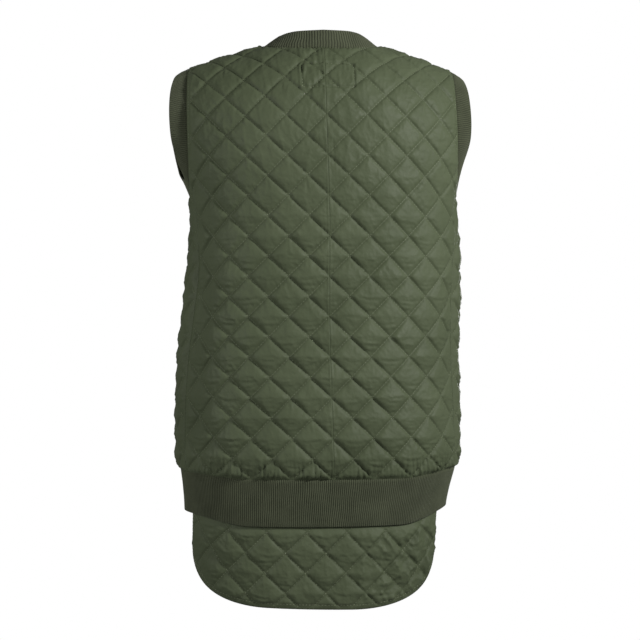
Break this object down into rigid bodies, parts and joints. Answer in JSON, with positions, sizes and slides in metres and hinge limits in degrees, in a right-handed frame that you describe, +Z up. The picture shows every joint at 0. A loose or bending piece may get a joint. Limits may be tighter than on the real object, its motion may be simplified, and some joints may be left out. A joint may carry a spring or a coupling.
{
  "type": "thermal vest",
  "caption": "Hollow worn quilted vest with ribbed neck, armholes and waistband, a quilted tail flap over the seat and a press-stud front.",
  "frame": {"origin": "midway between the neck ends of the shoulder seams, where the wearer's shoulders hold the vest", "axes": "+Z up, front towards -Y, the wearer's left towards +X"},
  "size_m": [0.4495, 0.2742, 0.8479],
  "materials": {
    "quilted_nylon": "olive-green satin nylon, diamond quilted over padding",
    "rib_knit": "matt olive-green rib knit",
    "stud_metal": "dark olive enamelled press studs"
  },
  "bodies": {
    "root": {"back_left": "quilted_nylon", "back_right": "quilted_nylon", "front_left": "quilted_nylon", "front_right": "quilted_nylon", "tail": "quilted_nylon", "placket": "quilted_nylon", "waistband": "rib_knit", "neck_rib": "rib_knit", "armhole_rib_left": "rib_knit", "armhole_rib_right": "rib_knit", "stud_1": "stud_metal", "stud_2": "stud_metal", "stud_3": "stud_metal", "stud_4": "stud_metal", "stud_5": "stud_metal", "stud_6": "stud_metal"}
  },
  "joints": []
}
